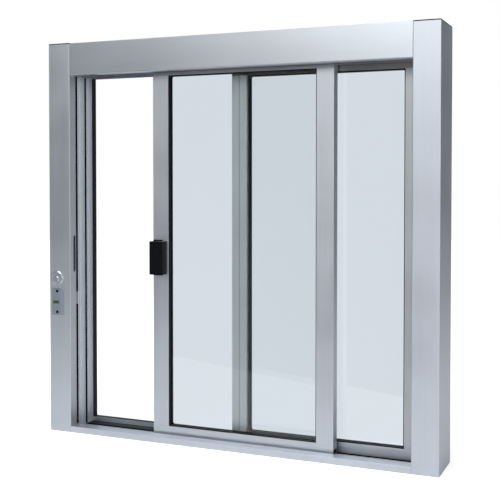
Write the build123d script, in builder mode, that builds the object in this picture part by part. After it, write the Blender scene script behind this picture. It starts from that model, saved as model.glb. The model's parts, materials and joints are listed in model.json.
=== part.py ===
"""A horizontal sliding service window: an extruded aluminium frame with one fixed panel and one sliding sash.

X runs to the right and Z up, seen from the service side. Y runs from the service side to the far side.
The origin is the middle of the sill's underside. All sizes are in millimetres.
"""

import os

from build123d import *

# Frame: overall size and the faces that show from the service side
frame_width = 914.0
frame_height = 903.0
frame_depth = 112.0
jamb_face = 56.2
head_face = 72.7
head_drop = 1.3
cap_thickness = 2.5
cap_inset = 0.6
wall = 3.0
inner_edge_round = 1.2
outer_edge_round = 0.8
head_edge_round = 2.0
nose_edge_round = 0.4

# Stations across the depth, from the front face to the back
front_strip = 25.0
pile_width = 6.5
fin = 1.0
sash_channel_width = 29.5
middle_rib_width = 8.0
fixed_pocket_width = 25.5
rear_lip = 1.5

# Recesses in the frame's inner side
channel_depth = 8.0
channel_groove_width = 7.0
channel_groove_depth = 1.0
pile_seat = 6.0
pile_proud = 1.5
head_pile_proud = 0.3
rear_seal_depth = 4.0
rear_seal_proud = 2.0
head_channel_depth = 24.0
guide_rib_depth = 10.0

# Sill
nose_height = 14.2
sill_floor = 3.0
track_rib_width = 3.0
track_top = 9.0
sill_pile_height = 6.3
rear_rib_height = 15.3
seat_step_width = 4.5
seat_step_height = 1.5
pad_thickness = 1.5
pad_clearance = 1.0

# Panels: the sliding sash and the fixed panel are framed alike
panel_thickness = 24.5
stile_face = 38.4
rail_height = 23.4
panel_overlap = 41.0
top_rail_show = 7.0
sash_lift = 2.5
fixed_shortfall = 2.0
fixed_engagement = 6.7
sash_engagement = 1.5
sash_opening = 201.3
panel_wall = 2.2
front_lip = 2.0
back_lip = 3.0
glazing_pocket_depth = 9.5
rail_web = 2.5
panel_edge_round = 0.5

# Glazing
glass_thickness = 6.0
gasket_base = 2.0
gasket_show = 2.2
gasket_chamfer = 1.2
gasket_corner = 4.0

# Interlock between the meeting stiles
hook_wall = 1.6
hook_clearance = 0.8
fixed_hook_inset = 21.6
fixed_hook_reach = 16.0
sash_hook_reach = 12.0

# Rollers in the sash's bottom rail
wheel_radius = 4.5
wheel_width = 4.0
wheel_clearance = 0.1
wheel_slot_clearance = 0.5
axle_radius = 1.5
axle_clearance = 0.15
axle_length = 10.0
roller_block_length = 42.0
roller_block_height = 8.5

# Pull handle on the lead stile
handle_width = 33.0
handle_height = 75.0
handle_depth = 23.0
handle_inset = 1.5
handle_middle_height = 412.2
tongue_width = 20.0
tongue_overhang = 2.7
tongue_depth = 6.0
tongue_inset = 3.5
handle_round = 1.2

# Lock, control plate and keeper on the left jamb
lock_from_outside = 21.0
lock_height = 359.0
collar_radius = 16.0
collar_bore_radius = 12.5
collar_depth = 4.5
collar_bevel = 1.2
cylinder_recess = 1.0
plug_radius = 6.5
plug_drop = 3.0
plug_proud = 2.0
plug_bevel = 0.6
keyway_width = 1.8
keyway_height = 8.0
keyway_depth = 3.0
plate_from_outside = 22.5
plate_width = 33.0
plate_height = 62.5
plate_thickness = 2.0
plate_corner = 2.0
plate_bevel = 1.0
plate_gap = 7.75
lamp_width = 16.0
lamp_height = 7.0
lamp_shift = 4.2
lamp_drop = 1.4
lamp_proud = 0.4
bolt_slot_length = 85.0
bolt_slot_width = 8.0
bolt_slot_setback = 18.0
bolt_slot_rise = 56.5
keeper_length = 28.0
keeper_drop = 48.0
keeper_recess = 2.0

# Stations worked out from the sizes above
y_front = -frame_depth / 2
y_pile = y_front + front_strip
y_fin = y_pile + pile_width
y_channel = y_fin + fin
y_rib = y_channel + sash_channel_width
y_pocket = y_rib + middle_rib_width
y_rear = y_pocket + fixed_pocket_width
y_back = frame_depth / 2
x_outer = frame_width / 2
x_reveal = x_outer - jamb_face
x_channel = x_reveal + channel_depth
jamb_top = frame_height - cap_thickness
head_top = frame_height - head_drop
head_low = head_top - head_face
head_ceiling = head_low + head_channel_depth
seat_top = sill_floor + seat_step_height
track_y = (y_channel + y_rib) / 2
panel_width = x_reveal + fixed_engagement + panel_overlap / 2
sash_y = track_y - panel_thickness / 2
fixed_y = (y_pocket + y_rear - panel_thickness) / 2
sash_left = -x_reveal - sash_engagement + sash_opening
fixed_left = -panel_overlap / 2
fixed_low = seat_top + rail_height
sash_low = fixed_low + sash_lift
sash_daylight = head_low - top_rail_show - sash_low
fixed_daylight = sash_daylight - fixed_shortfall
daylight_width = panel_width - 2 * stile_face
glazing_width = panel_thickness - front_lip - back_lip


def block(low_a, high_a, low_b, high_b, mode=Mode.ADD):
    """A rectangle of the sketch between two limits along each of its axes."""
    with Locations(((low_a + high_a) / 2, (low_b + high_b) / 2)):
        Rectangle(high_a - low_a, high_b - low_b, mode=mode)


def save(piece, name):
    """Label a finished piece and write it as one file."""
    piece.part.label = name
    export_step(piece.part, f"parts/{name}.step")


os.makedirs("parts", exist_ok=True)

# Jambs: one hollow extrusion, drawn as the left jamb and mirrored for the right
with BuildPart() as jamb_blank:
    with BuildSketch() as jamb_profile:
        block(-x_outer, -x_reveal, y_front, y_back)
        block(-x_channel, -x_reveal, y_channel, y_rib, mode=Mode.SUBTRACT)
        block(-x_channel, -x_reveal, y_pocket, y_rear, mode=Mode.SUBTRACT)
        for groove_y in (track_y, (y_pocket + y_rear) / 2):
            with Locations((-x_channel, groove_y)):
                Rectangle(2 * channel_groove_depth, channel_groove_width, mode=Mode.SUBTRACT)
        block(-x_reveal - pile_seat, -x_reveal, y_pile, y_fin, mode=Mode.SUBTRACT)
        block(-x_reveal - pile_seat, -x_reveal, y_rib + fin, y_pocket - fin, mode=Mode.SUBTRACT)
        block(-x_reveal - rear_seal_depth, -x_reveal, y_rear + fin, y_back - rear_lip, mode=Mode.SUBTRACT)
        x_inside = -x_reveal - max(channel_depth + channel_groove_depth, pile_seat) - wall
        block(-x_outer + wall, x_inside, y_front + wall, y_back - wall, mode=Mode.SUBTRACT)
        block(x_inside, -x_reveal - wall, y_front + wall, y_pile - wall, mode=Mode.SUBTRACT)
        fillet(jamb_profile.vertices().sort_by_distance((-x_reveal, y_front))[0], radius=inner_edge_round)
        fillet(jamb_profile.vertices().sort_by_distance((-x_outer, y_front))[0], radius=outer_edge_round)
    extrude(amount=jamb_top)

with BuildPart() as left_jamb:
    add(jamb_blank.part)
    with BuildSketch(Plane.YZ.offset(-x_reveal)):
        with Locations((y_front + bolt_slot_setback, lock_height + bolt_slot_rise)):
            SlotOverall(bolt_slot_length, bolt_slot_width, rotation=90)
    extrude(amount=-2 * wall, mode=Mode.SUBTRACT)
save(left_jamb, "left_jamb")

with BuildPart() as right_jamb:
    mirror(jamb_blank.part, about=Plane.YZ)
save(right_jamb, "right_jamb")

# End caps on the jambs: thin plates that close the hollow extrusions, a little inside their outline
for side_name, side in (("left", -1), ("right", 1)):
    with BuildPart() as jamb_cap:
        with BuildSketch(Plane.XY.offset(jamb_top)):
            low_x, high_x = sorted((side * (x_reveal + cap_inset), side * (x_outer - cap_inset)))
            block(low_x, high_x, y_front + cap_inset, y_back - cap_inset)
        extrude(amount=cap_thickness)
    save(jamb_cap, f"{side_name}_jamb_cap")

# Head: a box between the jambs with the sash channel and the fixed pocket open below
with BuildPart() as head:
    with BuildSketch(Plane.YZ.offset(-x_reveal)) as head_profile:
        block(y_front, y_back, head_low, head_top)
        block(y_channel, y_rib, head_low, head_ceiling, mode=Mode.SUBTRACT)
        block(y_pocket, y_rear, head_low, head_ceiling, mode=Mode.SUBTRACT)
        block(y_pile, y_fin, head_low, head_low + pile_seat, mode=Mode.SUBTRACT)
        block(y_rib + fin, y_pocket - fin, head_low, head_low + pile_seat, mode=Mode.SUBTRACT)
        block(y_front + wall, y_pile - wall, head_low + wall, head_ceiling, mode=Mode.SUBTRACT)
        block(y_front + wall, y_back - wall, head_ceiling + wall, head_top - wall, mode=Mode.SUBTRACT)
        seal_seat = head_low + rear_seal_depth
        block(y_rear + fin, y_back - rear_lip, head_low, seal_seat, mode=Mode.SUBTRACT)
        block(y_rear + wall, y_back - wall, seal_seat + wall, head_ceiling, mode=Mode.SUBTRACT)
        block(
            track_y - track_rib_width / 2,
            track_y + track_rib_width / 2,
            head_ceiling - guide_rib_depth,
            head_ceiling,
        )
        fillet(head_profile.vertices().sort_by_distance((y_front, head_low))[0], radius=head_edge_round)
    extrude(amount=2 * x_reveal)
save(head, "head")

# Sill: a nose, the roller track, the fixed pocket with its seat steps, and the rear rib
with BuildPart() as sill:
    with BuildSketch(Plane.YZ.offset(-x_reveal)) as sill_profile:
        block(y_front, y_back, 0, sill_floor)
        block(y_front, y_pile, 0, nose_height)
        block(y_front + wall, y_pile - wall, wall, nose_height - wall, mode=Mode.SUBTRACT)
        block(track_y - track_rib_width / 2, track_y + track_rib_width / 2, sill_floor, track_top)
        block(y_pocket, y_pocket + seat_step_width, sill_floor, seat_top)
        block(y_rear - seat_step_width, y_rear, sill_floor, seat_top)
        block(y_rear, y_back, 0, rear_rib_height)
        seal_seat = rear_rib_height - rear_seal_depth
        block(y_rear + fin, y_back - rear_lip, seal_seat, rear_rib_height, mode=Mode.SUBTRACT)
        block(y_rear + wall, y_back - wall, wall, seal_seat - wall, mode=Mode.SUBTRACT)
        fillet(sill_profile.vertices().sort_by_distance((y_front, nose_height))[0], radius=nose_edge_round)
    extrude(amount=2 * x_reveal)
save(sill, "sill")

# Pile weatherstrips and rear seals in the jambs, the sill and the head
keeper_middle = lock_height - keeper_drop
keeper_low = keeper_middle - keeper_length / 2
keeper_high = keeper_middle + keeper_length / 2
pile_top = head_low - head_pile_proud

with BuildPart() as left_front_pile:
    with BuildSketch(Plane.XY.offset(nose_height)):
        block(-x_reveal - pile_seat, -x_reveal + pile_proud, y_pile, y_fin)
    extrude(amount=keeper_low - nose_height)
    with BuildSketch(Plane.XY.offset(keeper_high)):
        block(-x_reveal - pile_seat, -x_reveal + pile_proud, y_pile, y_fin)
    extrude(amount=pile_top - keeper_high)
save(left_front_pile, "left_front_pile")

with BuildPart() as latch_keeper:
    with BuildSketch(Plane.XY.offset(keeper_low)):
        block(-x_reveal - pile_seat, -x_reveal - keeper_recess, y_pile, y_fin)
    extrude(amount=keeper_length)
save(latch_keeper, "latch_keeper")

with BuildPart() as right_front_pile:
    with BuildSketch(Plane.XY.offset(nose_height)):
        block(x_reveal - pile_proud, x_reveal + pile_seat, y_pile, y_fin)
    extrude(amount=pile_top - nose_height)
save(right_front_pile, "right_front_pile")

for side_name, side in (("left", -1), ("right", 1)):
    with BuildPart() as middle_pile:
        with BuildSketch(Plane.XY.offset(sill_pile_height)):
            low_x, high_x = sorted((side * (x_reveal - pile_proud), side * (x_reveal + pile_seat)))
            block(low_x, high_x, y_rib + fin, y_pocket - fin)
        extrude(amount=pile_top - sill_pile_height)
    save(middle_pile, f"{side_name}_middle_pile")

    with BuildPart() as rear_seal:
        with BuildSketch(Plane.XY.offset(rear_rib_height)):
            low_x, high_x = sorted((side * (x_reveal - rear_seal_proud), side * (x_reveal + rear_seal_depth)))
            block(low_x, high_x, y_rear + fin, y_back - rear_lip)
        extrude(amount=head_low - rear_rib_height)
    save(rear_seal, f"{side_name}_rear_seal")

with BuildPart() as sill_pile:
    with BuildSketch(Plane.YZ.offset(-x_reveal)):
        block(y_rib, y_pocket, sill_floor, sill_pile_height)
    extrude(amount=2 * x_reveal)
save(sill_pile, "sill_pile")

# The strip that lines the fixed pocket where no panel stands in it
with BuildPart() as sill_pad:
    with BuildSketch(Plane.XY.offset(seat_top)):
        block(-x_reveal, fixed_left - pad_clearance, y_pocket, y_rear)
    extrude(amount=pad_thickness)
save(sill_pad, "sill_pad")

for seal_name, low_z, high_z in (
    ("sill_rear_seal", rear_rib_height - rear_seal_depth, rear_rib_height),
    ("head_rear_seal", head_low, head_low + rear_seal_depth),
):
    with BuildPart() as level_seal:
        with BuildSketch(Plane.YZ.offset(-x_reveal)):
            block(y_rear + fin, y_back - rear_lip, low_z, high_z)
        extrude(amount=2 * x_reveal)
    save(level_seal, seal_name)

for pile_name, low_y, high_y in (
    ("head_front_pile", y_pile, y_fin),
    ("head_middle_pile", y_rib + fin, y_pocket - fin),
):
    with BuildPart() as head_pile:
        with BuildSketch(Plane.YZ.offset(-x_reveal)):
            block(low_y, high_y, pile_top, head_low + pile_seat)
        extrude(amount=2 * x_reveal)
    save(head_pile, pile_name)


def rail(left_x, front_y, edge_z, outward):
    """A rail whose glazing edge is at edge_z and whose roller channel opens outward, 1 up or -1 down."""

    def across(low_y, high_y, near, far, mode=Mode.ADD):
        low_z, high_z = sorted((edge_z + outward * near, edge_z + outward * far))
        block(low_y, high_y, low_z, high_z, mode=mode)

    back_y = front_y + panel_thickness
    with BuildPart() as piece:
        with BuildSketch(Plane.YZ.offset(left_x)) as rail_profile:
            across(front_y, back_y, 0, rail_height)
            across(front_y + front_lip, back_y - back_lip, 0, glazing_pocket_depth, mode=Mode.SUBTRACT)
            across(
                front_y + panel_wall,
                back_y - panel_wall,
                glazing_pocket_depth + rail_web,
                rail_height,
                mode=Mode.SUBTRACT,
            )
            fillet(rail_profile.vertices().sort_by_distance((front_y, edge_z))[0], radius=panel_edge_round)
        extrude(amount=panel_width)
    return piece


def stile_profile(profile, edge_x, front_y, outward):
    """Draw a stile in a sketch, its glazing edge at edge_x and its hollow outward, 1 right or -1 left."""

    def across(near, far, low_y, high_y, mode=Mode.ADD):
        low_x, high_x = sorted((edge_x + outward * near, edge_x + outward * far))
        block(low_x, high_x, low_y, high_y, mode=mode)

    back_y = front_y + panel_thickness
    across(0, stile_face, front_y, back_y)
    across(0, glazing_pocket_depth, front_y + front_lip, back_y - back_lip, mode=Mode.SUBTRACT)
    across(
        glazing_pocket_depth + panel_wall,
        stile_face - panel_wall,
        front_y + panel_wall,
        back_y - panel_wall,
        mode=Mode.SUBTRACT,
    )
    for corner_x in (edge_x, edge_x + outward * stile_face):
        fillet(profile.vertices().sort_by_distance((corner_x, front_y))[0], radius=panel_edge_round)


def glazing(left_x, front_y, low_z, daylight_height):
    """The glass and the gasket that wraps its edge, for the panel at left_x."""
    middle = (left_x + panel_width / 2, low_z + daylight_height / 2)
    pocket_front = Plane.XZ.offset(-(front_y + front_lip))
    glass_front = Plane.XZ.offset(-(front_y + front_lip + (glazing_width - glass_thickness) / 2))
    bite = 2 * (glazing_pocket_depth - gasket_base)
    with BuildPart() as glass:
        with BuildSketch(glass_front):
            with Locations(middle):
                Rectangle(daylight_width + bite, daylight_height + bite)
        extrude(amount=-glass_thickness)
    with BuildPart() as gasket:
        with BuildSketch(pocket_front):
            with Locations(middle):
                Rectangle(
                    daylight_width + 2 * glazing_pocket_depth,
                    daylight_height + 2 * glazing_pocket_depth,
                )
                RectangleRounded(
                    daylight_width - 2 * gasket_show,
                    daylight_height - 2 * gasket_show,
                    gasket_corner,
                    mode=Mode.SUBTRACT,
                )
        extrude(amount=-glazing_width)
        faces = gasket.faces().filter_by(Axis.Y).sort_by(Axis.Y)
        inner_edges = faces[0].inner_wires()[0].edges() + faces[-1].inner_wires()[0].edges()
        chamfer(inner_edges, length=gasket_chamfer)
        add(glass.part, mode=Mode.SUBTRACT)
    return glass, gasket


def corner_keys(left_x, front_y, low_z, daylight_height):
    """Four blocks that close the rails' glazing pockets beyond the gasket, under and over the stiles."""
    key_length = stile_face - glazing_pocket_depth
    with BuildPart() as keys:
        with BuildSketch(Plane.XZ.offset(-(front_y + front_lip))):
            for x in (left_x + key_length / 2, left_x + panel_width - key_length / 2):
                for z in (
                    low_z - glazing_pocket_depth / 2,
                    low_z + daylight_height + glazing_pocket_depth / 2,
                ):
                    with Locations((x, z)):
                        Rectangle(key_length, glazing_pocket_depth)
        extrude(amount=-glazing_width)
    return keys


# Rails, glass, gaskets and corner keys of the two panels
for panel, left_x, front_y, low_z, daylight_height in (
    ("sash", sash_left, sash_y, sash_low, sash_daylight),
    ("fixed", fixed_left, fixed_y, fixed_low, fixed_daylight),
):
    save(rail(left_x, front_y, low_z, -1), f"{panel}_bottom_rail")
    save(rail(left_x, front_y, low_z + daylight_height, 1), f"{panel}_top_rail")
    panel_glass, panel_gasket = glazing(left_x, front_y, low_z, daylight_height)
    save(panel_glass, f"{panel}_glass")
    save(panel_gasket, f"{panel}_gasket")
    save(corner_keys(left_x, front_y, low_z, daylight_height), f"{panel}_corner_keys")

# Stiles of the sliding sash: the lead stile is plain, the trail stile carries the sash's interlock hook
sash_right = sash_left + panel_width
hook_back = fixed_y - hook_clearance
fixed_hook_left = fixed_left + fixed_hook_inset
fixed_hook_right = fixed_hook_left + fixed_hook_reach
hook_right = fixed_hook_right + hook_clearance + hook_wall + sash_opening

with BuildPart() as sash_lead_stile:
    with BuildSketch(Plane.XY.offset(sash_low)) as stile:
        stile_profile(stile, sash_left + stile_face, sash_y, -1)
    extrude(amount=sash_daylight)
save(sash_lead_stile, "sash_lead_stile")

with BuildPart() as sash_trail_stile:
    with BuildSketch(Plane.XY.offset(sash_low)) as stile:
        stile_profile(stile, sash_right - stile_face, sash_y, 1)
        block(hook_right - hook_wall, hook_right, sash_y + panel_thickness, hook_back)
        block(hook_right - sash_hook_reach, hook_right, hook_back - hook_wall, hook_back)
    extrude(amount=sash_daylight)
save(sash_trail_stile, "sash_trail_stile")

# Stiles of the fixed panel: the meeting stile has the hook that the sash's hook slides behind
fixed_hook_back = hook_back - hook_wall - hook_clearance
fixed_right = fixed_left + panel_width

with BuildPart() as fixed_meeting_stile:
    with BuildSketch(Plane.XY.offset(fixed_low)) as stile:
        stile_profile(stile, fixed_left + stile_face, fixed_y, -1)
        block(fixed_hook_left, fixed_hook_left + hook_wall, fixed_hook_back - hook_wall, fixed_y)
        block(fixed_hook_left, fixed_hook_right, fixed_hook_back - hook_wall, fixed_hook_back)
    extrude(amount=fixed_daylight)
save(fixed_meeting_stile, "fixed_meeting_stile")

with BuildPart() as fixed_jamb_stile:
    with BuildSketch(Plane.XY.offset(fixed_low)) as stile:
        stile_profile(stile, fixed_right - stile_face, fixed_y, 1)
    extrude(amount=fixed_daylight)
save(fixed_jamb_stile, "fixed_jamb_stile")

# Rollers: a block in each end of the sash's bottom rail, and its wheel on the sill's track
axle_z = track_top + wheel_clearance + wheel_radius
block_top = sash_low - glazing_pocket_depth - rail_web
block_width = panel_thickness - 2 * panel_wall
sash_middle_y = sash_y + panel_thickness / 2

for end, block_left in (("left", sash_left), ("right", sash_right - roller_block_length)):
    axle_x = block_left + roller_block_length / 2
    axle_plane = Plane(origin=(axle_x, sash_middle_y, axle_z), x_dir=(1, 0, 0), z_dir=(0, -1, 0))
    with BuildPart() as roller_block:
        with BuildSketch(Plane.XY.offset(block_top - roller_block_height)):
            with Locations((axle_x, sash_middle_y)):
                Rectangle(roller_block_length, block_width)
                Rectangle(
                    2 * (wheel_radius + wheel_slot_clearance),
                    wheel_width + 2 * wheel_slot_clearance,
                    mode=Mode.SUBTRACT,
                )
        extrude(amount=roller_block_height)
        with BuildSketch(axle_plane):
            Circle(axle_radius + axle_clearance)
        extrude(amount=axle_length / 2, both=True, mode=Mode.SUBTRACT)
    save(roller_block, f"sash_{end}_roller_block")

    with BuildPart() as wheel:
        with BuildSketch(axle_plane):
            Circle(wheel_radius)
        extrude(amount=wheel_width / 2, both=True)
        with BuildSketch(axle_plane):
            Circle(axle_radius)
        extrude(amount=axle_length / 2, both=True)
    save(wheel, f"sash_{end}_wheel")

# Pull handle: a block on the lead stile, and the tongue behind it that shows above and below
handle_x = sash_left + handle_inset + handle_width / 2
tongue_x = sash_left + tongue_inset + tongue_width / 2
with BuildPart() as pull_handle:
    with BuildSketch(Plane.XZ.offset(-sash_y)):
        with Locations((handle_x, handle_middle_height)):
            RectangleRounded(handle_width, handle_height, handle_round)
    extrude(amount=handle_depth)
    chamfer(pull_handle.faces().sort_by(Axis.Y)[0].edges(), length=handle_round)
    with BuildSketch(Plane.XZ.offset(-sash_y)):
        with Locations((tongue_x, handle_middle_height)):
            Rectangle(tongue_width, handle_height + 2 * tongue_overhang)
    extrude(amount=tongue_depth)
save(pull_handle, "pull_handle")

# Lock on the left jamb: a bevelled collar, the cylinder in it and the keyed plug
jamb_front = Plane.XZ.offset(-y_front)
lock_x = -x_outer + lock_from_outside
with BuildPart() as lock_collar:
    with BuildSketch(jamb_front):
        with Locations((lock_x, lock_height)):
            Circle(collar_radius)
            Circle(collar_bore_radius, mode=Mode.SUBTRACT)
    extrude(amount=collar_depth)
    chamfer(lock_collar.faces().sort_by(Axis.Y)[0].outer_wire().edges(), length=collar_bevel)
save(lock_collar, "lock_collar")

with BuildPart() as lock_cylinder:
    with BuildSketch(jamb_front):
        with Locations((lock_x, lock_height)):
            Circle(collar_bore_radius)
        with Locations((lock_x, lock_height - plug_drop)):
            Circle(plug_radius, mode=Mode.SUBTRACT)
    extrude(amount=collar_depth - cylinder_recess)
save(lock_cylinder, "lock_cylinder")

plug_depth = collar_depth - cylinder_recess + plug_proud
with BuildPart() as lock_plug:
    with BuildSketch(jamb_front):
        with Locations((lock_x, lock_height - plug_drop)):
            Circle(plug_radius)
    extrude(amount=plug_depth)
    with BuildSketch(Plane.XZ.offset(plug_depth - y_front)):
        with Locations((lock_x, lock_height - plug_drop)):
            Rectangle(keyway_width, keyway_height)
    extrude(amount=-keyway_depth, mode=Mode.SUBTRACT)
    chamfer(lock_plug.faces().sort_by(Axis.Y)[0].outer_wire().edges(), length=plug_bevel)
save(lock_plug, "lock_plug")

# Control plate with its status lamp, under the lock
plate_x = -x_outer + plate_from_outside
plate_middle = lock_height - collar_radius - plate_gap - plate_height / 2
with BuildPart() as control_plate:
    with BuildSketch(jamb_front):
        with Locations((plate_x, plate_middle)):
            RectangleRounded(plate_width, plate_height, plate_corner)
        with Locations((plate_x - lamp_shift, plate_middle - lamp_drop)):
            Rectangle(lamp_width, lamp_height, mode=Mode.SUBTRACT)
    extrude(amount=plate_thickness)
    chamfer(control_plate.faces().sort_by(Axis.Y)[0].outer_wire().edges(), length=plate_bevel)
save(control_plate, "control_plate")

with BuildPart() as status_lamp:
    with BuildSketch(jamb_front):
        with Locations((plate_x - lamp_shift, plate_middle - lamp_drop)):
            Rectangle(lamp_width, lamp_height)
    extrude(amount=plate_thickness + lamp_proud)
save(status_lamp, "status_lamp")
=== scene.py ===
# %% [markdown]
# # A sliding service window
# This lesson dresses a service window that has already been built as solids: an extruded aluminium frame,
# a sliding sash, a fixed panel, black seals, a pull handle and a lock. The solids keep their shapes and
# their places. What is added here is the finish of every surface, the soft pile of the weatherstrips and
# the small screws, and then the light and the camera. Everything is in metres: X runs to the right, Y
# from the service side to the far side, and Z up from the sill's underside.

# %% Load the window's solids
import json
import math

import bpy
import numpy as np
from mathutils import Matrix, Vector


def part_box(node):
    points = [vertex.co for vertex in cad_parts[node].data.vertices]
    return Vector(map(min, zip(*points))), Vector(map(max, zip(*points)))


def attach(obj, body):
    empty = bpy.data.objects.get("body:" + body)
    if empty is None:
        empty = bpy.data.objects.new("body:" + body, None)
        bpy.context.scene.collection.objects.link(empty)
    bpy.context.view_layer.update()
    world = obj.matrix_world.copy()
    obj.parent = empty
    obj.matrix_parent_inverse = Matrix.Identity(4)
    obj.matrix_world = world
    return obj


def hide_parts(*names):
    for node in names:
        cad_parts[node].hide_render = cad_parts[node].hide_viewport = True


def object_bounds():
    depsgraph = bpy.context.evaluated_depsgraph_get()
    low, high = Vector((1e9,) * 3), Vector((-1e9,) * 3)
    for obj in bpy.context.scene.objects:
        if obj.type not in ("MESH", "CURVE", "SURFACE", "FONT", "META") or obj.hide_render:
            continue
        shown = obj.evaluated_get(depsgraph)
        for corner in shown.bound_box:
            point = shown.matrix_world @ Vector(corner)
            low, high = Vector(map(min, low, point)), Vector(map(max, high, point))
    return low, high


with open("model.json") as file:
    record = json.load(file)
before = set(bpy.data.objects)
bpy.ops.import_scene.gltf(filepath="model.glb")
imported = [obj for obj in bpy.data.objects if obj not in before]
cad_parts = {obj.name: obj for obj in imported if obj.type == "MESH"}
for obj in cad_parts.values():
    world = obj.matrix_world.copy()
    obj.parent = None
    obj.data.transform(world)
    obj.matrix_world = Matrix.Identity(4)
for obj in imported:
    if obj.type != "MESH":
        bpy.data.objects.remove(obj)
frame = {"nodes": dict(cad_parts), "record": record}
solid_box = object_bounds()
nodes = frame["nodes"]
print("solids loaded:", len(nodes))

# %% [markdown]
# ## The camera
# The picture looks at the window from the right of its middle, a little above half height. The camera
# stands on that side and almost level, and a lens shift moves the window up in the picture, the way a
# view camera is used for buildings. Tilting the camera down instead would make the jambs lean.

# %% Camera
CAMERA_PLACE = (0.8353, -1.9037, 0.5911)
CAMERA_TURN = math.radians(22.978)
CAMERA_DIP = math.radians(1.518)
PICTURE_PIXELS = 500
LENS_PIXELS = 944.1
LENS_AXIS_ROW = 203.3
SENSOR_MILLIMETRES = 36.0

camera_data = bpy.data.cameras.new("service_side_camera")
camera_data.sensor_width = SENSOR_MILLIMETRES
camera_data.lens = SENSOR_MILLIMETRES * (LENS_PIXELS / PICTURE_PIXELS)
camera_data.shift_y = (LENS_AXIS_ROW - PICTURE_PIXELS / 2) / PICTURE_PIXELS
camera = bpy.data.objects.new("service_side_camera", camera_data)
camera.location = CAMERA_PLACE
camera.rotation_euler = (math.pi / 2 - CAMERA_DIP, 0.0, CAMERA_TURN)
bpy.context.scene.collection.objects.link(camera)
bpy.context.scene.camera = camera
print("lens", round(camera_data.lens, 2), "mm, shift", round(camera_data.shift_y, 4))

# %% [markdown]
# ## Starting a finish
# A finish is a small graph of nodes around a principled shader. Such graphs can be drawn by hand in the
# shader editor, but written down they get long, so three helpers keep them short: one starts a material,
# one adds a node and fills its sockets, and one links a value to the shader. The second works on the
# world too, which is a graph of nodes as well.


# %% Starting a finish
def new_finish(name):
    """A material with only a principled shader and an output; returns the material and the shader."""
    finish = bpy.data.materials.new(name)
    finish.use_nodes = True
    shader = finish.node_tree.nodes["Principled BSDF"]
    return finish, shader


def add_node(owner, kind, inputs=None, **settings):
    """Add a node of a kind to a material or world, set its attributes, and fill its sockets."""
    node = owner.node_tree.nodes.new(kind)
    for key, value in settings.items():
        setattr(node, key, value)
    for socket, value in (inputs or {}).items():
        if isinstance(value, bpy.types.NodeSocket):
            owner.node_tree.links.new(value, node.inputs[socket])
        else:
            node.inputs[socket].default_value = value
    return node


def link_to(finish, value, shader, socket):
    """Link a value to one of the shader's sockets."""
    finish.node_tree.links.new(value, shader.inputs[socket])


def combine(owner, operation, first, second):
    """One number from two by a named operation, such as ADD or MULTIPLY."""
    return add_node(owner, "ShaderNodeMath", {0: first, 1: second}, operation=operation).outputs[0]


print("helpers for graphs ready")

# %% [markdown]
# ## Grain, colour and relief
# A drawn or brushed surface has fine lines along one direction. An image could show them, but a noise that
# is stretched along an axis gives them at any size and without a seam. Its value is then spread over the
# range that a socket needs: a place between two colours, a roughness or a height. The noise reads object
# coordinates, which are metres here, so the grain keeps its real size on every piece.

# %% Grain, colour and relief
NOISE_LOW = 0.3
NOISE_HIGH = 0.7


def stretched_noise(finish, cells_per_metre, detail=2.0):
    """Noise on object coordinates with its own number of cells per metre along X, Y and Z."""
    place = add_node(finish, "ShaderNodeTexCoord")
    mapping = add_node(
        finish,
        "ShaderNodeMapping",
        {"Vector": place.outputs["Object"], "Scale": cells_per_metre},
    )
    noise = add_node(
        finish,
        "ShaderNodeTexNoise",
        {"Vector": mapping.outputs["Vector"], "Scale": 1.0, "Detail": detail},
    )
    return noise.outputs["Fac"]


def spread(finish, value, low, high, start=NOISE_LOW, end=NOISE_HIGH):
    """Map a value between start and end to one between low and high, and hold it there outside."""
    node = add_node(
        finish,
        "ShaderNodeMapRange",
        {"Value": value, "From Min": start, "From Max": end, "To Min": low, "To Max": high},
    )
    return node.outputs["Result"]


def colour_between(finish, factor, first, second):
    """A colour between two linear colours, chosen by a factor from 0 to 1."""
    ramp = add_node(finish, "ShaderNodeValToRGB", {"Fac": factor})
    ramp.color_ramp.elements[0].color = (*first, 1.0)
    ramp.color_ramp.elements[1].color = (*second, 1.0)
    return ramp.outputs["Color"]


def bump_from(finish, height, relief, strength, shader):
    """Bump the shader's normal by a height field; relief is the height in metres."""
    bump = add_node(
        finish,
        "ShaderNodeBump",
        {"Height": height, "Distance": relief, "Strength": strength},
    )
    link_to(finish, bump.outputs["Normal"], shader, "Normal")


print("helpers for grain ready")

# %% [markdown]
# ## Masks
# A few pieces aren't one even colour all over. A mask says where they differ, by a coordinate or by the
# way that a face looks, and the base colour is scaled there. Vertex colours could do it too, but the
# solids' meshes are left alone, and a mask on object coordinates stays in its place from every side.

# %% Masks
FACING_START = 0.4
FACING_END = 0.8


def band_mask(finish, axis, low, high, softness):
    """A mask that is 1 where one object coordinate lies between low and high, with soft edges."""
    place = add_node(finish, "ShaderNodeTexCoord")
    parts = add_node(finish, "ShaderNodeSeparateXYZ", {0: place.outputs["Object"]})
    rise = spread(finish, parts.outputs[axis], 0.0, 1.0, low - softness, low + softness)
    fall = spread(finish, parts.outputs[axis], 1.0, 0.0, high - softness, high + softness)
    return combine(finish, "MULTIPLY", rise, fall)


def facing_mask(finish, axis):
    """A mask that is 1 on faces that look along a positive object axis, and 0 on the others."""
    place = add_node(finish, "ShaderNodeTexCoord")
    parts = add_node(finish, "ShaderNodeSeparateXYZ", {0: place.outputs["Normal"]})
    return spread(finish, parts.outputs[axis], 0.0, 1.0, FACING_START, FACING_END)


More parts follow.
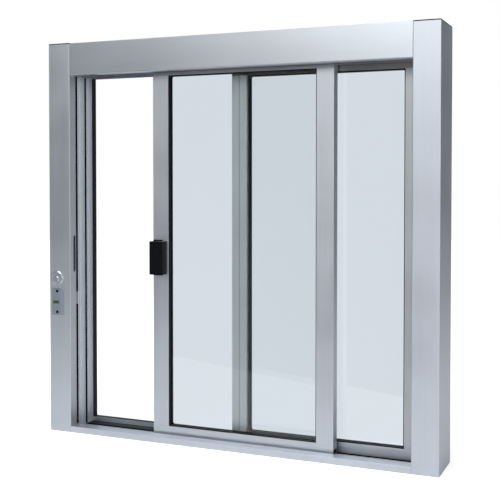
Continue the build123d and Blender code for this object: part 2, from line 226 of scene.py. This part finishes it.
def scale_where(finish, mask, levels):
    """Scale the red, green and blue of a base colour by levels where a mask is 1.

    The colour is multiplied by one plus the mask times the level less one.
    """
    shader = finish.node_tree.nodes["Principled BSDF"]
    colour = shader.inputs["Base Color"].links[0].from_socket
    change = [level - 1.0 for level in levels]
    share = add_node(
        finish,
        "ShaderNodeVectorMath",
        {0: mask, 1: change, 2: (1.0, 1.0, 1.0)},
        operation="MULTIPLY_ADD",
    )
    scaled = add_node(
        finish,
        "ShaderNodeVectorMath",
        {0: colour, 1: share.outputs["Vector"]},
        operation="MULTIPLY",
    )
    link_to(finish, scaled.outputs["Vector"], shader, "Base Color")


print("helpers for masks ready")

# %% [markdown]
# ## Anodised aluminium
# The frame and the panels are extrusions with a clear satin anodised finish. The metal comes out of its
# die with very fine lines along its length, and the etch before anodising leaves them soft. So the grain
# is a noise with long thin cells along the extrusion, and it drives a little of the colour, the roughness
# and the bump. A second noise with large cells stands for the cloudy marks that hands and cleaning leave.
# Upright pieces have the lines along Z and the others along X, so one function makes both.

# %% Anodised aluminium
ALONG_X = 0
ALONG_Z = 2
FINE_LINES = 1400.0
LONG_LINES = 5.0
CLOUDS = 6.0
GRAIN_RANGE = (0.7, 1.3)
LINE_RELIEF = 0.00002
LINE_STRENGTH = 0.35


def anodised(name, grain_axis, pale, deep, smoothness):
    """Satin anodised metal whose die lines run along grain_axis.

    The noise of the lines plus the noise of the clouds picks a colour between deep and pale, and a
    roughness between the two values of smoothness. The lines alone give the relief.
    """
    finish, shader = new_finish(name)
    cells = [FINE_LINES] * 3
    cells[grain_axis] = LONG_LINES
    lines = stretched_noise(finish, cells, detail=3.0)
    clouds = stretched_noise(finish, [CLOUDS] * 3, detail=4.0)
    grain = combine(finish, "ADD", lines, clouds)
    share = spread(finish, grain, 0.0, 1.0, *GRAIN_RANGE)
    link_to(finish, colour_between(finish, share, deep, pale), shader, "Base Color")
    link_to(finish, spread(finish, grain, *smoothness, *GRAIN_RANGE), shader, "Roughness")
    shader.inputs["Metallic"].default_value = 1.0
    bump_from(finish, lines, LINE_RELIEF, LINE_STRENGTH, shader)
    return finish


print("anodised finish ready")

# %% [markdown]
# ## A finish for each kind of extrusion
# Pieces of one alloy still differ a little: each comes from its own die and batch, and in a real room each
# mirrors another part of it. One finish for all would look flat under plain studio light, so each kind of
# extrusion has its own axis of the lines, pale and deep colour, and range of roughness. These colours are
# partly the batch's own tone and partly painted light and shade for what each piece would mirror. The top
# rail and the jamb stile of the fixed panel are darker with painted shade, for the shade they lie in deep
# in the frame, and the meeting stile is paler with painted light, for the light that the sash's glass
# holds back from it.

# %% Finishes of the extrusions
PALE_METAL = (0.70, 0.745, 0.82)
DEEP_METAL = (0.64, 0.682, 0.755)
extrusions = {
    "frame_upright": (ALONG_Z, (0.71, 0.757, 0.842), (0.65, 0.692, 0.77), (0.35, 0.45)),
    "lock_jamb": (ALONG_Z, (0.685, 0.73, 0.805), (0.63, 0.67, 0.74), (0.35, 0.45)),
    "frame_level": (ALONG_X, (0.74, 0.787, 0.867), (0.715, 0.76, 0.838), (0.28, 0.32)),
    "panel_upright": (ALONG_Z, PALE_METAL, DEEP_METAL, (0.34, 0.44)),
    "panel_level": (ALONG_X, (0.675, 0.712, 0.765), (0.62, 0.655, 0.71), (0.42, 0.52)),
    "sill": (ALONG_X, (0.74, 0.785, 0.86), (0.68, 0.72, 0.79), (0.40, 0.50)),
    # painted shade: a darker colour for the right jamb's shade on the fixed panel's jamb stile
    "fixed_stile_painted_shade": (ALONG_Z, (0.54, 0.565, 0.605), (0.485, 0.51, 0.545), (0.34, 0.44)),
    "sash_top": (ALONG_X, PALE_METAL, DEEP_METAL, (0.26, 0.34)),
    # painted shade: a dark grey for the shade under the head on the fixed panel's top rail
    "fixed_top_painted_shade": (ALONG_X, (0.36, 0.36, 0.36), (0.32, 0.32, 0.32), (0.36, 0.46)),
    # painted light: a paler colour for the light that the sash's glass holds back from the meeting stile
    "meeting_stile_painted_light": (ALONG_Z, (0.79, 0.875, 0.91), (0.73, 0.81, 0.845), (0.48, 0.58)),
}
metal = {kind: anodised(kind + "_anodised", *values) for kind, values in extrusions.items()}
print("anodised finishes:", len(metal))

# %% [markdown]
# ## Painted light and shade on two extrusions
# The inner faces of the lock's jamb look paler than its front, since the opening lights them. The studio
# here is plainer than a room, so a mask on the faces that look into the opening paints that light in: it
# lifts their tint. On the fixed panel's meeting stile a fine darker line of painted shade runs beside the
# hook, where the hook's edge shades the stile. It is a narrow band of X, measured from the stile's left
# edge.

# %% Painted light and shade on two extrusions
PAINTED_LIGHT_LEVELS = (1.34, 1.29, 1.20)
REVEAL_EDGE = 0.001
SHADE_LINE_START = 0.0163
SHADE_LINE_END = 0.0195
SHADE_LINE_EDGE = 0.0004
SHADE_LINE_LEVEL = 0.72

jamb_metal = metal["lock_jamb"]
reveal_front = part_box("left_front_pile")[0][1]
reveal_back = solid_box[1][1]
behind_front = band_mask(jamb_metal, "Y", reveal_front, reveal_back, REVEAL_EDGE)
painted_light_faces = combine(jamb_metal, "MULTIPLY", facing_mask(jamb_metal, "X"), behind_front)
# painted light: the lock jamb's inner faces are lifted for the light that comes through the opening
scale_where(jamb_metal, painted_light_faces, PAINTED_LIGHT_LEVELS)

stile_metal = metal["meeting_stile_painted_light"]
stile_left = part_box("fixed_meeting_stile")[0][0]
painted_shade_line = band_mask(stile_metal, "X", stile_left + SHADE_LINE_START, stile_left + SHADE_LINE_END, SHADE_LINE_EDGE)
# painted shade: a darker line beside the hook, where its edge shades the meeting stile
scale_where(stile_metal, painted_shade_line, [SHADE_LINE_LEVEL] * 3)
print("inner faces from Y", round(reveal_front, 4), "and a line at X", round(stile_left + SHADE_LINE_START, 4))

# %% [markdown]
# ## Rubber, moulded plastic, nylon and pile
# The glazing gaskets and rear seals are extruded black rubber: matte, with faint draw marks. The handle
# is moulded plastic with a fine eroded texture, the roller blocks are plain nylon, and the caps on the
# jambs are a dark grey moulding. A plain black would do from afar, but close by it has no grain. Black
# plastics shine little, so the specular level is low as well as the colour, and the shine is a cool one.

# %% Rubber and plastics
PALER_GRAIN = 1.5
COOL_SHINE = (0.72, 0.84, 1.0, 1.0)
GRAIN_STRENGTH = 0.4


def dull_black(name, tint, smoothness, specular, cells, relief):
    """A dark surface whose noise changes the colour and the roughness and gives it a little relief."""
    finish, shader = new_finish(name)
    grain = stretched_noise(finish, [cells] * 3)
    lighter = [PALER_GRAIN * part for part in tint]
    colour = colour_between(finish, spread(finish, grain, 0.0, 1.0), tint, lighter)
    link_to(finish, colour, shader, "Base Color")
    link_to(finish, spread(finish, grain, *smoothness), shader, "Roughness")
    shader.inputs["Specular IOR Level"].default_value = specular
    shader.inputs["Specular Tint"].default_value = COOL_SHINE
    bump_from(finish, grain, relief, GRAIN_STRENGTH, shader)
    return finish


gasket_rubber = dull_black("gasket_rubber", (0.008, 0.009, 0.012), (0.45, 0.6), 0.22, 700, 0.00004)
handle_plastic = dull_black("handle_plastic", (0.003, 0.003, 0.004), (0.28, 0.36), 0.21, 2600, 0.00003)
roller_nylon = dull_black("roller_nylon", (0.006, 0.006, 0.008), (0.45, 0.6), 0.15, 900, 0.00003)
pile_fibre = dull_black("pile_fibre", (0.003, 0.0035, 0.005), (0.85, 0.95), 0.05, 3000, 0.0002)
cap_plastic = dull_black("cap_plastic", (0.035, 0.037, 0.04), (0.5, 0.65), 0.2, 1200, 0.00003)
print("dark finishes:", gasket_rubber.name, handle_plastic.name, roller_nylon.name, pile_fibre.name)

# %% [markdown]
# ## Glass
# The panes are clear float glass, 6 mm thick. A thin sheet with a transparent shader could stand for
# them, but here the solid itself refracts, and each of its faces sends back a few percent of the light,
# which is what shows the table in the lower part of the panes. A slight tint stands for the metal oxides
# in the sheet, and the faces have the faint waviness of the float bath and a few smears.

# %% Glass
GLASS_TINT = (0.966, 0.979, 0.984, 1.0)
GLASS_INDEX = 1.5
SMEAR_CELLS = (9.0, 9.0, 5.0)
SMEAR_RANGE = (0.5, 0.8)
SMEAR_ROUGHNESS = 0.02
WAVE_CELLS = (3.0, 3.0, 8.0)
WAVE_RELIEF = 0.00001
WAVE_STRENGTH = 0.2

glass, glass_shader = new_finish("float_glass")
glass_shader.inputs["Base Color"].default_value = GLASS_TINT
glass_shader.inputs["IOR"].default_value = GLASS_INDEX
glass_shader.inputs["Transmission Weight"].default_value = 1.0
smears = stretched_noise(glass, SMEAR_CELLS, detail=3.0)
link_to(glass, spread(glass, smears, 0.0, SMEAR_ROUGHNESS, *SMEAR_RANGE), glass_shader, "Roughness")
waves = stretched_noise(glass, WAVE_CELLS)
bump_from(glass, waves, WAVE_RELIEF, WAVE_STRENGTH, glass_shader)
print("glass:", glass.name)

# %% [markdown]
# ## Lock, plate and wheels
# The lock is satin nickel turned on a lathe, the plate under it is brushed sheet, and the roller wheels
# are turned steel. They are small, so a fine noise in the colour and the roughness is enough, and tool
# marks in the mesh would be lost. Most of the plate is a slightly darker field, which ends a little short
# of its right edge.

# %% Lock, plate and wheels
FIELD_MARGIN = 0.009
FIELD_EDGE = 0.0006
FIELD_LEVEL = 0.88


def bare_metal(name, pale, deep, smoothness, cells):
    """A bare metal whose noise, stretched as its tool marks are, changes the colour and roughness."""
    finish, shader = new_finish(name)
    marks = stretched_noise(finish, cells)
    colour = colour_between(finish, spread(finish, marks, 0.0, 1.0), deep, pale)
    link_to(finish, colour, shader, "Base Color")
    link_to(finish, spread(finish, marks, *smoothness), shader, "Roughness")
    shader.inputs["Metallic"].default_value = 1.0
    return finish


lock_nickel = bare_metal(
    "lock_satin_nickel",
    pale=(0.76, 0.80, 0.87),
    deep=(0.65, 0.69, 0.76),
    smoothness=(0.30, 0.38),
    cells=[2200] * 3,
)
plate_sheet = bare_metal(
    "plate_brushed_sheet",
    pale=(0.41, 0.465, 0.535),
    deep=(0.36, 0.41, 0.472),
    smoothness=(0.50, 0.60),
    cells=(60, 3000, 3000),
)
wheel_steel = bare_metal(
    "wheel_turned_steel",
    pale=(0.52, 0.52, 0.53),
    deep=(0.44, 0.44, 0.45),
    smoothness=(0.3, 0.45),
    cells=[900] * 3,
)
plate_low, plate_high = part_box("control_plate")
field_left = plate_low[0] - FIELD_EDGE
field_right = plate_high[0] - FIELD_MARGIN
plate_field = band_mask(plate_sheet, "X", field_left, field_right, FIELD_EDGE)
scale_where(plate_sheet, plate_field, [FIELD_LEVEL] * 3)
print("small metals:", lock_nickel.name, plate_sheet.name, wheel_steel.name)

# %% [markdown]
# ## Status lamp
# The lamp on the plate is a small moulded green lens, and it isn't lit. Real lenses have fine ribs inside.
# A noise with thin cells across X gives the same broken green without a second piece behind the lens.

# %% Status lamp
LENS_DEEP = (0.030, 0.070, 0.032)
LENS_PALE = (0.055, 0.11, 0.055)
LENS_ROUGHNESS = 0.3
RIB_CELLS = (700, 100, 100)
RIB_RELIEF = 0.0001
RIB_STRENGTH = 0.4

lamp_lens, lens_shader = new_finish("lamp_green_lens")
ribs = stretched_noise(lamp_lens, RIB_CELLS)
lens_colour = colour_between(lamp_lens, spread(lamp_lens, ribs, 0.0, 1.0), LENS_DEEP, LENS_PALE)
link_to(lamp_lens, lens_colour, lens_shader, "Base Color")
lens_shader.inputs["Roughness"].default_value = LENS_ROUGHNESS
bump_from(lamp_lens, ribs, RIB_RELIEF, RIB_STRENGTH, lens_shader)
print("lens:", lamp_lens.name)

# %% [markdown]
# ## Each solid gets its finish
# The record says which slot a solid belongs to, and most slots have one finish. Pieces of the two
# aluminium slots also need to know which way they were extruded: the jambs and stiles stand upright, and
# the others lie along X. Six extrusions have a finish of their own, and these are looked up first.

# %% Assign the finishes
own_finish = {
    "left_jamb": metal["lock_jamb"],
    "sill": metal["sill"],
    "sash_top_rail": metal["sash_top"],
    "fixed_top_rail": metal["fixed_top_painted_shade"],
    "fixed_meeting_stile": metal["meeting_stile_painted_light"],
    "fixed_jamb_stile": metal["fixed_stile_painted_shade"],
}
upright_finish = {"frame_aluminium": metal["frame_upright"], "panel_aluminium": metal["panel_upright"]}
slot_finish = {
    "frame_aluminium": metal["frame_level"],
    "panel_aluminium": metal["panel_level"],
    "glass": glass,
    "gasket_black": gasket_rubber,
    "pile_black": pile_fibre,
    "nylon_black": roller_nylon,
    "handle_black": handle_plastic,
    "cap_grey": cap_plastic,
    "lock_chrome": lock_nickel,
    "plate_steel": plate_sheet,
    "lamp_green": lamp_lens,
    "wheel_steel": wheel_steel,
}
for subpart in frame["record"]["subparts"]:
    node = subpart["node"]
    slot = subpart["material_slot"]
    finish = slot_finish[slot]
    if node.endswith(("jamb", "stile")):
        finish = upright_finish[slot]
    finish = own_finish.get(node, finish)
    nodes[node].data.materials.clear()
    nodes[node].data.materials.append(finish)

# %% [markdown]
# ## A mesh from a grid of points
# The added pieces are surfaces of two parameters. Their points are worked out as whole arrays, and one
# helper joins neighbouring points into four-sided faces. Blender's own primitives could be bent into these
# shapes, but a formula says exactly where each point goes.


# %% Grid helper
def grid_piece(name, points, finish):
    """Make a piece from rows of points, where each row is a closed loop.

    Point i of a row joins point i + 1, the last joins the first, and each row joins the next.
    """
    rows, columns = points.shape[:2]
    index = np.arange(rows * columns).reshape(rows, columns)
    index = np.hstack([index, index[:, :1]])
    corners = [index[:-1, :-1], index[:-1, 1:], index[1:, 1:], index[1:, :-1]]
    quads = np.stack(corners, axis=-1).reshape(-1, 4)
    mesh = bpy.data.meshes.new(name)
    mesh.from_pydata(points.reshape(-1, 3).tolist(), [], quads.tolist())
    mesh.polygons.foreach_set("use_smooth", np.ones(len(quads), dtype=bool))
    mesh.materials.append(finish)
    mesh.update()
    piece = bpy.data.objects.new(name, mesh)
    bpy.context.scene.collection.objects.link(piece)
    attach(piece, "root")
    return piece


print("grid helper ready")

# %% [markdown]
# ## A pile weatherstrip
# The black lines in the frame's inner sides are pile weatherstrips: short fibres woven into a backing that
# slides into a slot. The fibres stand a little proud and their ends are uneven. Hair would show each
# fibre, but it is heavy and can't be kept as a mesh. So a strip is a rounded section carried along its
# slot, and a seeded noise lowers the fibre ends, so that it catches light like a brush and not like a bar.

# %% A pile weatherstrip
TUFT_PITCH = 0.0011
TUFT_RELIEF = 0.0004
DEEPEST_DIP = 2.0
SECTION_POINTS = 20
SQUARENESS = 0.45
FIBRE_SEED = 7
fibre_ends = np.random.default_rng(FIBRE_SEED)


def pile_strip(name, run_axis, face_axis, face_sign, box_low, box_high):
    """A strip that fills a box: a rounded rectangle carried along run_axis with uneven fibre ends.

    The section is a superellipse: each coordinate is half the box's size times the cosine or sine of an
    angle, raised to a small power with its sign kept. Points on the side that faces out move in by a
    random depth that is smoothed along the run. The end rows shrink to the middle of the section.
    """
    low = np.array(box_low)
    high = np.array(box_high)
    middle = (low + high) / 2
    half = (high - low) / 2
    side_axis = 3 - run_axis - face_axis
    count = int((high - low)[run_axis] / TUFT_PITCH)
    along = np.linspace(low[run_axis], high[run_axis], count)
    angle = np.linspace(0.0, 2 * np.pi, SECTION_POINTS, endpoint=False)
    rounded_cos = np.sign(np.cos(angle)) * np.abs(np.cos(angle)) ** SQUARENESS
    rounded_sin = np.sign(np.sin(angle)) * np.abs(np.sin(angle)) ** SQUARENESS
    lift = fibre_ends.normal(size=(count, SECTION_POINTS))
    lift = (lift + np.roll(lift, 1, axis=0)) / 2
    lift = np.clip(lift, -DEEPEST_DIP, 0.0) * TUFT_RELIEF * np.clip(np.sin(angle), 0.0, 1.0)
    shrink = np.ones((count, 1))
    shrink[[0, -1]] = 0.0
    points = np.empty((count, SECTION_POINTS, 3))
    points[..., run_axis] = along[:, None]
    points[..., side_axis] = middle[side_axis] + shrink * half[side_axis] * rounded_cos
    out = half[face_axis] * rounded_sin + lift
    points[..., face_axis] = middle[face_axis] + shrink * face_sign * out
    turn = np.eye(3)[[side_axis, face_axis, run_axis]]
    if np.linalg.det(turn) * face_sign < 0:
        points = points[:, ::-1]
    return grid_piece(name, points, pile_fibre)


print("pile section of", SECTION_POINTS, "points")

# %% [markdown]
# ## The strips in their slots
# Each strip fills the box of the plain solid that it stands for, so it needs no places of its own: only
# the axis that it runs along, the axis that its fibres point along, and their sense. The front strip of
# the left jamb is cut in two, because the latch keeper sits between its runs.

# %% Strips in their slots
strips = {
    "left_middle_pile": (ALONG_Z, ALONG_X, 1),
    "right_front_pile": (ALONG_Z, ALONG_X, -1),
    "right_middle_pile": (ALONG_Z, ALONG_X, -1),
    "sill_pile": (ALONG_X, ALONG_Z, 1),
    "head_front_pile": (ALONG_X, ALONG_Z, -1),
    "head_middle_pile": (ALONG_X, ALONG_Z, -1),
}
for node, (run_axis, face_axis, face_sign) in strips.items():
    low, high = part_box(node)
    strip = pile_strip(node + "_brush", run_axis, face_axis, face_sign, low, high)
    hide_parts(node)

front_low, front_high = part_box("left_front_pile")
keeper_low, keeper_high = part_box("latch_keeper")
lower_high = (*front_high[:2], keeper_low[2])
upper_low = (*front_low[:2], keeper_high[2])
lower = pile_strip("left_front_pile_lower_brush", ALONG_Z, ALONG_X, 1, front_low, lower_high)
upper = pile_strip("left_front_pile_upper_brush", ALONG_Z, ALONG_X, 1, upper_low, front_high)
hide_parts("left_front_pile")
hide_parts("left_front_pile")
print("pile strips:", len(strips) + 2)

# %% [markdown]
# ## Screws of the control plate
# Two small black pan-head screws hold the plate under the lock. A head could be a cylinder with a cross
# cut out of it. Here it is a low dome with a cross recess, so it is one surface of revolution whose height
# drops where the cross lies.

# %% Plate screws
HEAD_RADIUS = 0.0033
HEAD_HEIGHT = 0.0015
RIM_SHARE = 0.45
RIM_SINK = 0.0002
DOME_START = 0.98
RECESS_HALF_WIDTH = 0.0005
RECESS_REACH = 0.0020
RECESS_DEPTH = 0.0009
SCREW_RINGS = 15
SCREW_SPOKES = 64
SCREW_SPACING = 0.0485
SCREW_SHIFT = 0.0012
UPPER_TURN = 0.4
LOWER_TURN = 1.1


def plate_screw(name, x, z, face_y, turn):
    """A pan head on a face that looks along minus Y.

    The radius runs from the rim to the middle. The height is the rim's share of the head plus the rest
    times the root of one minus the radius squared, and a recess is taken off where a point lies near
    either arm of a cross that is turned by an angle. The first ring is the foot of the rim.
    """
    share = np.concatenate([[1.0, 1.0], np.linspace(DOME_START, 0.0, SCREW_RINGS)])[:, None]
    angle = np.linspace(0.0, 2 * np.pi, SCREW_SPOKES, endpoint=False)[None, :]
    radius = HEAD_RADIUS * share
    dome = RIM_SHARE + (1.0 - RIM_SHARE) * np.sqrt(1.0 - share**2)
    height = HEAD_HEIGHT * dome * np.ones_like(angle)
    height[0] = -RIM_SINK
    arm_a = radius * np.abs(np.sin(angle - turn))
    arm_b = radius * np.abs(np.cos(angle - turn))
    inside = np.minimum(arm_a, arm_b) < RECESS_HALF_WIDTH
    inside &= np.maximum(arm_a, arm_b) < RECESS_REACH
    height = np.where(inside, height - RECESS_DEPTH, height)
    points = np.stack(
        [x + radius * np.cos(angle), face_y - height, z + radius * np.sin(angle)],
        axis=-1,
    )
    return grid_piece(name, points, roller_nylon)


plate_middle = (plate_low[2] + plate_high[2]) / 2
screw_x = (plate_low[0] + plate_high[0]) / 2 - SCREW_SHIFT
plate_screw("plate_screw_upper", screw_x, plate_middle + SCREW_SPACING / 2, plate_low[1], UPPER_TURN)
plate_screw("plate_screw_lower", screw_x, plate_middle - SCREW_SPACING / 2, plate_low[1], LOWER_TURN)
print("plate screws at X", round(screw_x, 4))

# %% [markdown]
# ## The table
# The window stands on a white table. The table's front edge lies square to the camera, just below the
# picture, and the glass mirrors that edge. A square plane would lie along the window instead, so the four
# corners are worked out along the camera's view.

# %% Table top
TABLE_FRONT = 1.49
TABLE_BACK = 9.0
TABLE_HALF = 5.0


def along_view(distance, sideways):
    """A point on the floor at a distance from the camera along its level axis, and to its right."""
    ahead = np.array([-math.sin(CAMERA_TURN), math.cos(CAMERA_TURN)])
    right = np.array([math.cos(CAMERA_TURN), math.sin(CAMERA_TURN)])
    spot = np.array(CAMERA_PLACE[:2]) + distance * ahead + sideways * right
    return (*spot, 0.0)


floor_corners = [
    along_view(TABLE_FRONT, -TABLE_HALF),
    along_view(TABLE_FRONT, TABLE_HALF),
    along_view(TABLE_BACK, TABLE_HALF),
    along_view(TABLE_BACK, -TABLE_HALF),
]
floor_mesh = bpy.data.meshes.new("floor")
floor_mesh.from_pydata(floor_corners, [], [(0, 1, 2, 3)])
floor = bpy.data.objects.new("floor", floor_mesh)
bpy.context.scene.collection.objects.link(floor)
print("table from", TABLE_FRONT, "m to", TABLE_BACK, "m along the view")

# %% [markdown]
# ## What shows through the glass
# Behind the panes hangs a pale blue-grey backdrop. Seen past the window the ground is plain white, and
# through the panes it has the backdrop's colour. A wall behind the window could do that from one side
# alone. Light Path does it from all sides: it tells which rays came from the camera through glass and met
# nothing else on the way.

# %% Backdrop
BACKDROP_COLOUR = (0.735, 0.785, 0.84, 1.0)
HALF_A_BOUNCE = 0.5


def straight_through(owner, path):
    """1 for a ray that came from the camera through glass alone, and 0 once anything has bounced it."""
    bounces = combine(owner, "ADD", path.outputs["Glossy Depth"], path.outputs["Diffuse Depth"])
    unbounced = combine(owner, "LESS_THAN", bounces, HALF_A_BOUNCE)
    return combine(owner, "MULTIPLY", path.outputs["Is Transmission Ray"], unbounced)


print("backdrop colour", BACKDROP_COLOUR[:3])

# %% [markdown]
# ## The table's paint
# To the camera the table is white, and a soft shadow stays on it where the window keeps light away. Paint
# alone would be grey under this light, so it glows a little for camera rays, more so far from the window,
# where it fades into the white background. What the glass and the metal mirror of it glows faintly too.

# %% Table paint
TABLE_COLOUR = (0.84, 0.845, 0.85, 1.0)
NEAR_GLOW = 0.66
FAR_GLOW = 0.94
FADE_START = 0.5
FADE_END = 1.3
MIRRORED_GLOW = 0.09

floor_paint, floor_shader = new_finish("floor_paint")
floor_shader.inputs["Base Color"].default_value = TABLE_COLOUR
floor_shader.inputs["Roughness"].default_value = 1.0
floor_shader.inputs["Emission Color"].default_value = (1.0, 1.0, 1.0, 1.0)
floor_path = add_node(floor_paint, "ShaderNodeLightPath")
floor_place = add_node(floor_paint, "ShaderNodeTexCoord")
floor_reach = add_node(
    floor_paint,
    "ShaderNodeVectorMath",
    {0: floor_place.outputs["Object"]},
    operation="LENGTH",
)
fade = spread(floor_paint, floor_reach.outputs["Value"], NEAR_GLOW, FAR_GLOW, FADE_START, FADE_END)
mirrored = add_node(
    floor_paint,
    "ShaderNodeMath",
    {0: floor_path.outputs["Is Glossy Ray"], 1: floor_path.outputs["Is Transmission Ray"]},
    operation="SUBTRACT",
    use_clamp=True,
)
mirrored_glow = combine(floor_paint, "MULTIPLY", mirrored.outputs[0], MIRRORED_GLOW)
floor_glow = add_node(
    floor_paint,
    "ShaderNodeMath",
    {0: floor_path.outputs["Is Camera Ray"], 1: fade, 2: mirrored_glow},
    operation="MULTIPLY_ADD",
)
link_to(floor_paint, floor_glow.outputs[0], floor_shader, "Emission Strength")
floor_behind = add_node(
    floor_paint,
    "ShaderNodeEmission",
    {"Color": BACKDROP_COLOUR, "Strength": 1.0},
)
floor_mix = add_node(
    floor_paint,
    "ShaderNodeMixShader",
    {
        0: straight_through(floor_paint, floor_path),
        1: floor_shader.outputs[0],
        2: floor_behind.outputs[0],
    },
)
floor_output = floor_paint.node_tree.nodes["Material Output"]
floor_paint.node_tree.links.new(floor_mix.outputs[0], floor_output.inputs["Surface"])
floor_mesh.materials.append(floor_paint)
print("table glows from", NEAR_GLOW, "to", FAR_GLOW)

# %% [markdown]
# ## Glows of the studio
# The studio around the table is what the metal mirrors and what lights the window. Lamps with hard edges
# would show as bright shapes in the satin metal. So each light is a round glow on the world, around a
# direction, that fades out smoothly.

# %% Glow helpers
world = bpy.data.worlds.new("studio")
bpy.context.scene.world = world
world.use_nodes = True
world.node_tree.nodes.clear()
looking = add_node(world, "ShaderNodeTexCoord").outputs["Generated"]


def facing(turn, rise):
    """A unit direction, turn in degrees to the right of the service side, rise in degrees upward."""
    turn = math.radians(turn)
    rise = math.radians(rise)
    level = math.cos(rise)
    return (level * math.sin(turn), -level * math.cos(turn), math.sin(rise))


def glow(turn, rise, reach, strength):
    """A round glow: full in one direction, and gone at an angle of reach degrees from it.

    The cosine of that angle runs from that of reach to 1, and a smooth step turns it into the strength.
    """
    likeness = add_node(
        world,
        "ShaderNodeVectorMath",
        {0: looking, 1: facing(turn, rise)},
        operation="DOT_PRODUCT",
    )
    share = add_node(
        world,
        "ShaderNodeMapRange",
        {
            "Value": likeness.outputs["Value"],
            "From Min": math.cos(math.radians(reach)),
            "From Max": 1.0,
            "To Max": strength,
        },
        interpolation_type="SMOOTHSTEP",
    )
    return share.outputs["Result"]


def lit_by(room, glows):
    """The colour of a dim room plus round glows, each given as turn, rise, reach, strength and colour."""
    total = room
    for turn, rise, reach, strength, colour in glows:
        added = add_node(
            world,
            "ShaderNodeVectorMath",
            {0: glow(turn, rise, reach, strength), 1: colour, 2: total},
            operation="MULTIPLY_ADD",
        )
        total = added.outputs["Vector"]
    return total


print("world:", world.name)

# %% [markdown]
# ## World
# A broad soft light stands in front and to the right, others lie in front, low and high, two more light
# the right jamb's side, and the backdrop glows behind. Elsewhere the room is dim. The high lights in front
# are slightly warm and those behind are blue, which gives plain metal its small changes of colour. The
# camera itself sees white, and through the glass the backdrop.

# %% World
ROOM_LIGHT = (0.026, 0.028, 0.031)
NEUTRAL = (1.0, 1.0, 1.0)
WARM = (1.0, 1.0, 0.965)
COOL = (1.0, 1.0, 0.985)
BLUE = (0.92, 1.0, 1.10)
glows = [
    (46.0, 8.0, 26.0, 0.95, NEUTRAL),
    (68.0, 8.0, 26.0, 0.50, NEUTRAL),
    (26.0, -12.0, 20.0, 0.60, NEUTRAL),
    (8.0, -10.0, 20.0, 1.50, NEUTRAL),
    (4.0, -22.0, 14.0, 1.50, NEUTRAL),
    (4.0, 4.0, 14.0, 0.70, NEUTRAL),
    (-8.0, 18.0, 14.0, 2.20, WARM),
    (-22.0, 27.0, 18.0, 2.20, WARM),
    (-28.0, 32.0, 26.0, 0.72, WARM),
    (-8.0, 32.0, 26.0, 0.29, WARM),
    (-30.0, -16.0, 20.0, 0.24, NEUTRAL),
    (112.0, 4.0, 24.0, 0.49, COOL),
    (130.0, 4.0, 24.0, 0.56, COOL),
    (190.0, 4.0, 24.0, 0.76, BLUE),
    (215.0, 4.0, 24.0, 0.49, BLUE),
    (203.0, 32.0, 30.0, 0.50, BLUE),
]
ray_kind = add_node(world, "ShaderNodeLightPath")
studio = add_node(world, "ShaderNodeBackground", {"Color": lit_by(ROOM_LIGHT, glows), "Strength": 1.0})
backdrop = add_node(world, "ShaderNodeBackground", {"Color": BACKDROP_COLOUR, "Strength": 1.0})
white = add_node(world, "ShaderNodeBackground", {"Color": (1.0, 1.0, 1.0, 1.0), "Strength": 1.0})
through = add_node(
    world,
    "ShaderNodeMixShader",
    {0: straight_through(world, ray_kind), 1: studio.outputs[0], 2: backdrop.outputs[0]},
)
straight = add_node(
    world,
    "ShaderNodeMixShader",
    {0: ray_kind.outputs["Is Camera Ray"], 1: through.outputs[0], 2: white.outputs[0]},
)
add_node(world, "ShaderNodeOutputWorld", {"Surface": straight.outputs[0]})
print("world with", len(glows), "glows")

# %% [markdown]
# ## Lamp
# One large soft panel hangs over the table. It lights the tops of the pieces and the table itself, and it
# gives the window its soft shadow. A small lamp would draw that shadow with a hard edge.

# %% Lamp
PANEL_WIDTH = 2.0
PANEL_DEPTH = 1.6
PANEL_WATTS = 48.0
PANEL_PLACE = (0.0, -0.5, 2.6)
PANEL_TILT = math.radians(11.0)

lamp_data = bpy.data.lights.new("top_panel", "AREA")
lamp_data.shape = "RECTANGLE"
lamp_data.size = PANEL_WIDTH
lamp_data.size_y = PANEL_DEPTH
lamp_data.energy = PANEL_WATTS
lamp = bpy.data.objects.new("top_panel", lamp_data)
lamp.location = PANEL_PLACE
lamp.rotation_euler = (PANEL_TILT, 0.0, 0.0)
bpy.context.scene.collection.objects.link(lamp)
print("top panel", lamp_data.energy, "W")

# %% [markdown]
# ## Finish
# The standard view transform keeps colours as they are written.

# %% Finish
bpy.context.scene.view_settings.view_transform = "Standard"
